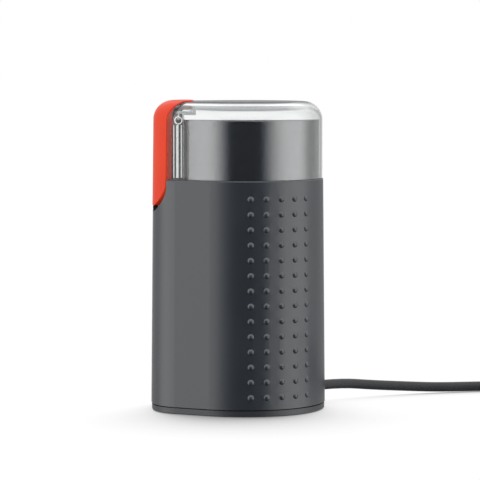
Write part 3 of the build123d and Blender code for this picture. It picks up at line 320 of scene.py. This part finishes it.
# Cord: a round mains lead in dark grey flexible plastic, drawn in one length. It leaves the
# casing's foot through a tapered relief, lies on the floor, and its spare length is wound in a tied
# coil with the plug.
cord_plastic = moulded(
    "cord_plastic",
    dark=(0.034, 0.035, 0.038),
    pale=(0.044, 0.045, 0.049),
    rough=0.46,
    grain=1200.0,
)
dress(cord_plastic, "strain_relief")
plug_plastic = moulded(
    "plug_plastic",
    dark=(0.032, 0.033, 0.036),
    pale=(0.042, 0.043, 0.047),
    rough=0.42,
    grain=900.0,
    relief=0.00004,
)
dress(plug_plastic, "plug_body")
nickel_plate = metal(
    "nickel_plate",
    dark=(0.66, 0.65, 0.62),
    pale=(0.76, 0.75, 0.72),
    rough=0.18,
    lines=(400.0, 400.0, 400.0),
)
dress(nickel_plate, "plug_pins")
tie_rubber = moulded(
    "tie_rubber",
    dark=(0.012, 0.012, 0.012),
    pale=(0.018, 0.018, 0.018),
    rough=0.66,
    grain=900.0,
)
dress(tie_rubber, "cord_ties")
cord_diameter = 0.0054
route = [
    (0.0461, 0.0298, 0.0084),
    (0.0576, 0.0379, 0.0084),
    (0.0730, 0.0465, 0.0063),
    (0.0910, 0.0545, 0.0046),
    (0.1100, 0.0615, 0.0031),
    (0.1310, 0.0676, 0.00275),
    (0.1520, 0.0710, 0.00275),
    (0.1666, 0.0720, 0.0036),
]
# The coil winds in on the floor, climbs one layer in half a turn, and winds out on top.
coil_quarters = 17
quarter_steps = 8
turn_step = 0.00615
coil_across, coil_along, coil_up = 0.184, 0.0355, 0.0037
coil_outer = 0.036
coil_core = coil_outer - turn_step * (coil_quarters / 2 - 1) / 4
for step in range(coil_quarters * quarter_steps + 1):
    quarter = step / quarter_steps
    from_middle = quarter - coil_quarters / 2
    if abs(from_middle) < 1:
        radius = coil_core + turn_step * (from_middle**2 - 1) / 8
        climb = (from_middle + 1) / 2
        height = turn_step * (3 * climb**2 - 2 * climb**3)
    else:
        radius = coil_core + turn_step * (abs(from_middle) - 1) / 4
        height = 0 if from_middle < 0 else turn_step
    angle = (1 - quarter) * math.pi / 2
    across = coil_across + radius * math.cos(angle)
    along = coil_along + radius * math.sin(angle)
    route.append((across, along, coil_up + height))
route += [
    (0.2205, 0.0180, 0.00985),
    (0.2216, 0.0035, 0.0065),
    (0.2216, -0.0090, 0.0065),
]
curve = bpy.data.curves.new("cord", "CURVE")
curve.dimensions = "3D"
curve.bevel_depth = cord_diameter / 2
curve.bevel_resolution = 6
curve.use_fill_caps = True
spline = curve.splines.new("NURBS")
spline.points.add(len(route) - 1)
for point, where in zip(spline.points, route):
    point.co = (*where, 1)
spline.order_u = 3
spline.use_endpoint_u = True
spline.resolution_u = 4
curve.materials.append(cord_plastic)
cord = bpy.data.objects.new("cord", curve)
bpy.context.scene.collection.objects.link(cord)
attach(cord, "housing")
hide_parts("cord_lead", "cord_coil", "cord_tail")

# Casing: a tapered shell of anthracite plastic with rows of low grip bumps, moulded in one piece.
# Its satin, soft-touch coat is grey where light glances along it and nearly black where it faces
# the viewer.
casing_coat = moulded(
    "casing_coat",
    dark=(0.0135, 0.0200, 0.0285),
    pale=(0.0155, 0.0225, 0.0320),
    rough=0.34,
    grain=1900.0,
    relief=0.000012,
    IOR=1.65,
    Specular_IOR_Level=1.0,
)
dress(casing_coat, "outer_casing")

# Notch strip: a strip of soft black foam, glued along the notch in the casing under the button's
# tip. Its near-black colour is painted shade, standing in for the shadow deep in that notch.
# Painted shade: the strip's near-black colour stands in for the shadow in the notch under the
# button.
notch_shade_foam = moulded(
    "notch_shade_foam",
    dark=(0.006, 0.006, 0.006),
    pale=(0.010, 0.010, 0.010),
    rough=0.9,
    grain=700.0,
    relief=0.00008,
)
nose_front, nose_round = -0.04540, 0.110
strip_half, strip_depth, strip_foot, strip_height = 0.0140, 0.0014, 0.10628, 0.00280
strip_front = [(0.15, 0), (0, 0.2), (-0.06, 0.5), (0, 0.8), (0.15, 1)]
strip_back = [(0.85, 1), (1, 0.8), (1, 0.2), (0.85, 0)]
strip_steps = 16
strip_rows = []
for step in range(strip_steps + 1):
    along = strip_half * (2 * step / strip_steps - 1)
    front = nose_front + nose_round - math.sqrt(nose_round**2 - along**2)
    row = []
    for inward, share in strip_front + strip_back:
        row.append((front + strip_depth * inward, along, strip_foot + strip_height * share))
    strip_rows.append(row)


def skinned(name, skins):
    """A mesh of skins over closed rows of points, each with capped ends or, if asked, joined."""
    points, faces = [], []
    for rows, joined in skins:
        start, corners = len(points), len(rows[0])
        points += [point for row in rows for point in row]
        for step in range(len(rows) if joined else len(rows) - 1):
            ring, beyond = start + step * corners, start + (step + 1) % len(rows) * corners
            for corner in range(corners):
                after = (corner + 1) % corners
                faces.append((ring + corner, ring + after, beyond + after, beyond + corner))
        if not joined:
            faces.append(tuple(range(start, start + corners)))
            faces.append(tuple(range(len(points) - corners, len(points))))
    mesh = bpy.data.meshes.new(name)
    mesh.from_pydata(points, [], faces)
    skin = bmesh.new()
    skin.from_mesh(mesh)
    bmesh.ops.recalc_face_normals(skin, faces=skin.faces)
    skin.to_mesh(mesh)
    skin.free()
    return mesh


strip_mesh = skinned("notch_shade_strip", [(strip_rows, False)])
strip_mesh.materials.append(notch_shade_foam)
notch_shade_strip = bpy.data.objects.new("notch_shade_strip", strip_mesh)
bpy.context.scene.collection.objects.link(notch_shade_strip)
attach(notch_shade_strip, "housing")
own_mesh(notch_shade_strip)

# Bowl: a cup drawn from stainless sheet, with the fine rings of its polishing round the wall and
# across the floor. A turned nut clamps it to the carrier over a rubber gasket, and a lip seal
# keeps the shaft's hole tight.
bowl_axis = 0.0035
rings_to_metre = 2600.0
ring_wear = 0.10
bowl_rough = 0.17
bowl_dark, bowl_pale = (0.315, 0.315, 0.319), (0.365, 0.365, 0.369)
bowl_steel, shader, start = surface("bowl_steel", Metallic=1.0)
place = start.node("ShaderNodeTexCoord", output="Object")
flat = start.node(
    "ShaderNodeVectorMath",
    {"operation": "MULTIPLY_ADD"},
    {0: place, 1: (1.0, 1.0, 0.0), 2: (-bowl_axis, 0.0, 0.0)},
)
out = start.node("ShaderNodeVectorMath", {"operation": "LENGTH"}, {0: flat}, "Value")
up = start.node("ShaderNodeSeparateXYZ", None, {0: place}, "Z")
rings = start.node(
    "ShaderNodeTexNoise",
    {"noise_dimensions": "1D"},
    {"W": (out + up) * rings_to_metre, "Detail": 3.0},
)
rings.eased(0.2, 0.8).between(bowl_dark, bowl_pale).feed(shader, "Base Color")
(bowl_rough + ring_wear * (rings - 0.5)).feed(shader, "Roughness")
dress(bowl_steel, "grinding_bowl")
turned_alloy = metal(
    "turned_alloy",
    dark=(0.50, 0.50, 0.51),
    pale=(0.64, 0.64, 0.65),
    rough=0.36,
    lines=(8.0, 8.0, 1800.0),
)
dress(turned_alloy, "bowl_nut")
dress(seal_rubber, "bowl_gasket", "shaft_seal")

# Blade: a two-winged knife stamped from hardened stainless steel, its tips bent up and down.
# It sits on a moulded hub and a plated nut holds it on the shaft.
blade_steel = metal(
    "blade_steel",
    dark=(0.52, 0.52, 0.52),
    pale=(0.66, 0.66, 0.66),
    rough=0.27,
    lines=(40.0, 1800.0, 1800.0),
)
dress(blade_steel, "grinding_blade")
dress(inner_plastic, "blade_hub")
dress(nickel_plate, "blade_nut")


# Lid: a cap of clear polished plastic that lifts off the bowl, moulded with a recess for the
# button. Light that only casts shadow goes straight through, less what little the plastic keeps.
def clear(name):
    """A clear material, its shader as a value, and a start for its nodes."""
    made, shader, start = surface(
        name, Base_Color=(0.97, 0.98, 0.98, 1), Roughness=0.0, IOR=1.49, Transmission_Weight=1.0
    )
    return made, Socket(start.tree, shader.outputs[0]), start


def ray(start, kind):
    """A fact of the arriving ray: whether it is of some kind, or how often it has bounced so."""
    return start.node("ShaderNodeLightPath", output=kind)


def see_through(start, shader):
    """Finishes a clear material: its shader, and what its shadow lets through."""
    thin = start.node("ShaderNodeBsdfTransparent", None, {"Color": (0.94, 0.95, 0.95, 1)})
    sockets = {0: ray(start, "Is Shadow Ray"), 1: shader, 2: thin}
    both = start.node("ShaderNodeMixShader", None, sockets)
    both.feed(start.tree.nodes["Material Output"], "Surface")


clear_plastic, shader, start = clear("clear_plastic")
see_through(start, shader)
dress(clear_plastic, "lid")

# Lid ribs: upright ribs and a round boss, moulded on both end walls of the lid's recess to stiffen
# them. They gather the side light inside the clear plastic and show it as white streaks.
rib_plastic, shader, start = clear("rib_plastic")
place = start.node("ShaderNodeTexCoord", output="Object")
wall = start.math("SIGN", start.node("ShaderNodeSeparateXYZ", None, {0: place}, "Y"))
# The shading is turned to the side light, so that the whole rib catches it.
streak_across, streak_along, streak_share = -0.45, 0.89, 0.85
toward_light = start.node(
    "ShaderNodeCombineXYZ", None, {"X": streak_across, "Y": streak_along * wall}
)
streak = start.node(
    "ShaderNodeBsdfGlossy",
    None,
    {"Color": (0.97, 0.97, 0.97, 1), "Roughness": 0.25, "Normal": toward_light},
)
both = start.node("ShaderNodeMixShader", None, {0: streak_share, 1: shader, 2: streak})
see_through(start, both)
wall_across, wall_along, wall_slope, wall_bend = -0.03137, -0.02524, 0.5273, 42.9
rib_spans = [(-0.0336, -0.0331), (-0.0323, -0.0307), (-0.0300, -0.0290)]
rib_foot, rib_top, rib_height, rib_gap, rib_steps = 0.1244, 0.1520, 0.00035, 0.00005, 8
boss_across, boss_up, boss_radius, boss_wire = -0.0312, 0.1544, 0.0018, 0.00038
boss_steps, boss_corners = 24, 10


def on_end_wall(side, across, proud, up):
    """A point that stands proud of a recess's end wall, on the side away from the button."""
    from_start = across - wall_across
    slope = wall_slope + 2 * wall_bend * from_start
    length = math.hypot(1, slope)
    along = wall_along + wall_slope * from_start + wall_bend * from_start**2 - proud / length
    return (across + proud * slope / length, -side * along, up)


rib_skins = []
for side in (-1, 1):
    for first, last in rib_spans:
        places = [first + (last - first) * step / rib_steps for step in range(rib_steps + 1)]
        section = [(across, rib_gap) for across in places]
        for step in range(rib_steps - 1, 0, -1):
            arch = math.sqrt(1 - (2 * step / rib_steps - 1) ** 2)
            section.append((places[step], rib_gap + rib_height * arch))
        ends = []
        for up in (rib_foot, rib_top):
            ends.append([on_end_wall(side, across, proud, up) for across, proud in section])
        rib_skins.append((ends, False))
    boss_rows = []
    for step in range(boss_steps):
        turn = 2 * math.pi * step / boss_steps
        row = []
        for corner in range(boss_corners):
            roll = 2 * math.pi * corner / boss_corners
            radius = boss_radius + boss_wire * math.cos(roll)
            proud = rib_gap + boss_wire * (1 + math.sin(roll))
            across = boss_across + radius * math.cos(turn)
            row.append(on_end_wall(side, across, proud, boss_up + radius * math.sin(turn)))
        boss_rows.append(row)
    rib_skins.append((boss_rows, True))
rib_mesh = skinned("lid_ribs", rib_skins)
rib_mesh.materials.append(rib_plastic)
lid_ribs = bpy.data.objects.new("lid_ribs", rib_mesh)
bpy.context.scene.collection.objects.link(lid_ribs)
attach(lid_ribs, "lid")

# Button: a tongue of orange-red plastic, moulded with a satin gloss, that bridges the lid's recess
# and hangs down over the nose. A small spring under it lifts it off the switch.
button_plastic = moulded(
    "button_plastic",
    dark=(0.89, 0.049, 0.008),
    pale=(0.93, 0.056, 0.011),
    rough=0.42,
    grain=1600.0,
    relief=0.000008,
    Specular_IOR_Level=0.3,
)
dress(button_plastic, "button")
dress(spring_wire, "button_spring")
button_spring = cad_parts["button_spring"]
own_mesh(button_spring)


# Floor: a plain sweep of white paper. What the camera sees of it, also through the lid, is lifted
# to white, but for the soft shadow that falls forward from the base. Shiny pieces don't mirror it.
def shown(start):
    """1 on a ray from the camera, also one through clear plastic, and 0 on any other."""
    return (ray(start, "Is Camera Ray") + ray(start, "Is Transmission Ray")).eased(0.0, 1.0)


floor_reach = 6.0
shadow_reach = 0.12
floor_shade, _, start = surface("floor_shade")
matt = start.node("ShaderNodeBsdfDiffuse", None, {"Color": (0.86, 0.86, 0.86, 1)})
backward = start.node("ShaderNodeCombineXYZ", None, {"Y": 0.9, "Z": 0.43})
open_above = start.node(
    "ShaderNodeAmbientOcclusion",
    {"samples": 32},
    {"Distance": shadow_reach, "Normal": backward},
    "AO",
)
black = start.node("ShaderNodeEmission", None, {"Strength": 0.0})
white = start.node("ShaderNodeEmission", None, {"Strength": 1.03})
lifted = start.node(
    "ShaderNodeMixShader", None, {0: open_above.eased(0.0, 0.93), 1: black, 2: white}
)
sweep = start.node("ShaderNodeMixShader", None, {0: shown(start), 1: matt, 2: lifted})
mirrored = ray(start, "Glossy Depth").eased(0.0, 1.0)
gone = start.node("ShaderNodeBsdfTransparent")
left = start.node("ShaderNodeMixShader", None, {0: mirrored, 1: sweep, 2: gone})
left.feed(start.tree.nodes["Material Output"], "Surface")
floor_mesh = bpy.data.meshes.new("floor")
floor_corners = [
    (-floor_reach, -floor_reach, 0),
    (floor_reach, -floor_reach, 0),
    (floor_reach, floor_reach, 0),
    (-floor_reach, floor_reach, 0),
]
floor_mesh.from_pydata(floor_corners, [], [(0, 1, 2, 3)])
floor_mesh.materials.append(floor_shade)
floor = bpy.data.objects.new("floor", floor_mesh)
bpy.context.scene.collection.objects.link(floor)

# Light: a white room with a tall soft panel at each side, dimmer ones behind, and one above. None
# stands in front, so the middle of the casing and of the bowl stays dark and a little blue.
world = bpy.data.worlds.new("studio")
world.use_nodes = True
bpy.context.scene.world = world
background = world.node_tree.nodes["Background"]
start = Socket(world.node_tree)
toward = start.node("ShaderNodeTexCoord", output="Generated")
across, along, up = (start.node("ShaderNodeSeparateXYZ", None, {0: toward}, axis) for axis in "XYZ")
aside = start.math("ABSOLUTE", across)
behind = along.eased(-0.05, 0.5)
side_strength = 1.2
side_panels = side_strength * ((0 - across).eased(0.33, 0.92) + across.eased(0.36, 1.02))
back_wall, back_wings, back_strips = 0.3, 0.15, 0.6
strips = aside.eased(0.03, 0.12) * (1 - aside.eased(0.22, 0.36))
back_panels = back_wall + back_wings * aside.eased(0.2, 0.55) + back_strips * strips
at_floor, at_middle, at_top = 0.35, 0.65, 0.3
upright = at_floor + at_middle * up.eased(-0.75, -0.25) + at_top * up.eased(0.15, 0.5)
panels = upright * (side_panels * (1 - behind) + back_panels * behind)
ceiling = up.eased(0.2, 0.6)
dimmest = 0.0405
room = start.math("MAXIMUM", panels, ceiling) + dimmest
bounced = (ray(start, "Glossy Depth") + ray(start, "Diffuse Depth")).eased(0.0, 1.0)
white = shown(start) * (1 - bounced)
(room * (1 - white) + white).feed(background, "Strength")
bluish, neutral = (0.88, 1.0, 1.2), (1.0, 1.0, 1.0)
bright = start.math("MAXIMUM", white, room.eased(0.03, 0.5))
bright.between(bluish, neutral).feed(background, "Color")

# Camera: a long lens from in front, a little above the lid, tipped down to the casing.
# The picture keeps plain colours, with no film look.
camera_tip = 4.058
camera_data = bpy.data.cameras.new("camera")
camera_data.lens = 202.5
camera_data.sensor_width = 36.0
camera = bpy.data.objects.new("camera", camera_data)
camera.location = (0.001, -1.439, 0.192)
camera.rotation_euler = (math.radians(90 - camera_tip), 0, 0)
bpy.context.scene.collection.objects.link(camera)
bpy.context.scene.camera = camera
bpy.context.scene.view_settings.view_transform = "Standard"
